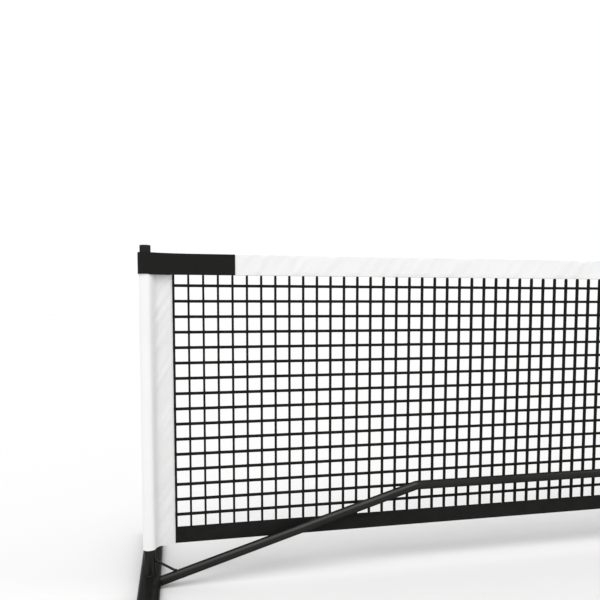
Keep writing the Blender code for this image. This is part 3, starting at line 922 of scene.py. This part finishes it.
def weld_bead(name, side, material):
    """A rippled bead where the post stands on the flat oval foot."""
    around = 96
    steps = 8
    foot_out = -POST_X - (FOOT_LOW.x + FOOT_HIGH.x) / 2
    flat = ((FOOT_HIGH.x - FOOT_LOW.x) - (FOOT_HIGH.z - FOOT_LOW.z)) / 2
    round_r = (FOOT_HIGH.z - FOOT_LOW.z) / 2
    points = []
    faces = []
    for i in range(around):
        angle = tau * i / around
        x = (POST_R + BEAD_OUT) * cos(angle)
        y = (POST_R + BEAD_OUT) * sin(angle)
        over = max(abs(x + foot_out) - flat, 0)
        z = FOOT_HIGH.z - round_r + sqrt(round_r ** 2 - over ** 2) + BEAD_OUT
        ripple = 0.00022 * sin(angle * BEAD_RIPPLES)
        lump = 0.0003 * noise.noise((x * 200, y * 200, 4.0 + side))
        size = BEAD_R + ripple + lump
        for j in range(steps):
            turn = tau * j / steps
            grow = 1 + size * cos(turn) / POST_R
            points.append((-side * x * grow + side * POST_X, y * grow, z + size * sin(turn)))
    for i in range(around):
        for j in range(steps):
            a = i * steps + j
            b = i * steps + (j + 1) % steps
            c = (i + 1) % around * steps
            quad = (a, b, c + (j + 1) % steps, c + j)
            faces.append(quad if side < 0 else quad[::-1])
    mesh = bpy.data.meshes.new(f"{name}_weld_bead")
    mesh.from_pydata(points, [], faces)
    bead = new_object(f"{name}_weld_bead", mesh, material)
    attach(bead, BODY)


def weld_spot(name, place, size, material):
    """A small lumpy weld at one end of the thin rod."""
    rings = 8
    around = 14
    points = [(place.x, place.y, place.z - size)]
    for i in range(1, rings):
        polar = pi * i / rings
        for j in range(around):
            turn = tau * j / around
            reach = Vector((sin(polar) * cos(turn), sin(polar) * sin(turn), -cos(polar)))
            points.append(tuple(place + reach * size * (1 + 0.16 * noise.noise(reach * 2.3))))
    points.append((place.x, place.y, place.z + size))
    top = len(points) - 1
    faces = []
    for j in range(around):
        k = (j + 1) % around
        faces.append((0, 1 + k, 1 + j))
        faces.append((top, top - around + j, top - around + k))
        for i in range(rings - 2):
            a = 1 + i * around
            faces.append((a + j, a + k, a + around + k, a + around + j))
    mesh = bpy.data.meshes.new(name)
    mesh.from_pydata(points, [], faces)
    spot = new_object(name, mesh, material)
    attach(spot, BODY)


def welds(name, side, material):
    """The bead round the post's foot and a spot at each end of the thin rod."""
    weld_bead(name, side, material)
    thick = ROD_HIGH.y - ROD_LOW.y
    low = Vector((side * (abs(ROD_HIGH.x) + thick * 0.55), 0, ROD_LOW.z + thick * 0.30))
    high = Vector((side * (abs(ROD_LOW.x) - thick * 0.15), 0, ROD_HIGH.z - thick * 0.62))
    weld_spot(f"{name}_rod_weld_low", low, thick * 0.62, material)
    weld_spot(f"{name}_rod_weld_high", high, thick * 0.66, material)


# Stage

def pale_floor():
    half = FLOOR_HALF
    mesh = bpy.data.meshes.new("floor")
    corners = [(-half, -half, 0), (half, -half, 0), (half, half, 0), (-half, half, 0)]
    mesh.from_pydata(corners, [], [(0, 1, 2, 3)])
    made = Shader("pale floor", 0.9, specular=0.05)
    made.colour(made.between(made.noise(0.4, 2), (0.606, 0.606, 0.606), (0.616, 0.616, 0.616)))
    new_object("floor", mesh, made.material)


def soft_light():
    world = bpy.data.worlds.new("studio")
    bpy.context.scene.world = world
    world.use_nodes = True
    world.node_tree.nodes["Background"].inputs["Color"].default_value = (1, 1, 1, 1)
    world.node_tree.nodes["Background"].inputs["Strength"].default_value = WORLD
    for name, (energy, size_in_degrees, towards) in (("key", KEY), ("fill", FILL)):
        light = bpy.data.lights.new(name, "SUN")
        light.angle = radians(size_in_degrees)
        light.energy = energy
        lamp = bpy.data.objects.new(name, light)
        bpy.context.scene.collection.objects.link(lamp)
        lamp.rotation_euler = Vector(towards).to_track_quat("Z", "Y").to_euler()


def camera():
    """The camera, solved from the rows and columns of the mesh."""
    data = bpy.data.cameras.new("camera")
    data.sensor_width = SENSOR
    data.lens = LENS
    data.shift_x, data.shift_y = SHIFT
    data.clip_end = 200
    obj = bpy.data.objects.new("camera", data)
    bpy.context.scene.collection.objects.link(obj)
    obj.location = (-POST_X + EDGE_STRAND + CAMERA_IN, NET_Y - CAMERA_AWAY, CAMERA_UP)
    obj.rotation_euler = (radians(CAMERA_TILT), 0, radians(CAMERA_TURN))
    bpy.context.scene.camera = obj
    bpy.context.scene.view_settings.view_transform = "Standard"


def finish_cad(materials):
    """Gives each part of the frame that stays its finish."""
    slots = {entry["node"]: entry["material_slot"] for entry in frame["record"]["subparts"]}
    for name, obj in frame["nodes"].items():
        if slots[name] in materials:
            obj.data.materials.clear()
            obj.data.materials.append(materials[slots[name]])


camera()
pale_floor()
soft_light()
STEEL = coated_steel()
WHITE = white_cloth("white coated cloth")
# The pocket's cloth has painted shade in its crease and on its flat part, and a painted highlight
# round the post.
PAINTED_POCKET_CLOTH = white_cloth("white pocket cloth with painted shade and light", pocket_painted_shade_and_light)
WHITE_THREAD = thread("white thread", (0.66, 0.66, 0.655), 0.3)
BLACK_THREAD = thread("black thread", (0.0100, 0.0100, 0.0096), 0.1)
BLACK_WEBBING = webbing("black webbing", (0.0064, 0.0063, 0.0059), (0.0118, 0.0114, 0.0107))
WHITE_WEBBING = webbing("white webbing", (0.60, 0.60, 0.59), (0.74, 0.74, 0.735))
finish_cad({
    "black steel": STEEL, "spring steel": spring_steel(), "black plastic": moulded_plastic(),
    "black rubber": rubber(), "fibreglass": glass_fibre(), "cord": braided_cord(),
})
net_panel()
top_tape(WHITE, WHITE_THREAD)
bottom_hem(black_cloth(), BLACK_THREAD)
for side_name, side_sign in SIDES.items():
    side_sleeve(side_name, side_sign, PAINTED_POCKET_CLOTH, WHITE_THREAD)
    corner_band(side_name, side_sign, BLACK_WEBBING, BLACK_THREAD)
    welds(side_name, side_sign, STEEL)
middle_strap(WHITE_WEBBING, WHITE_THREAD)
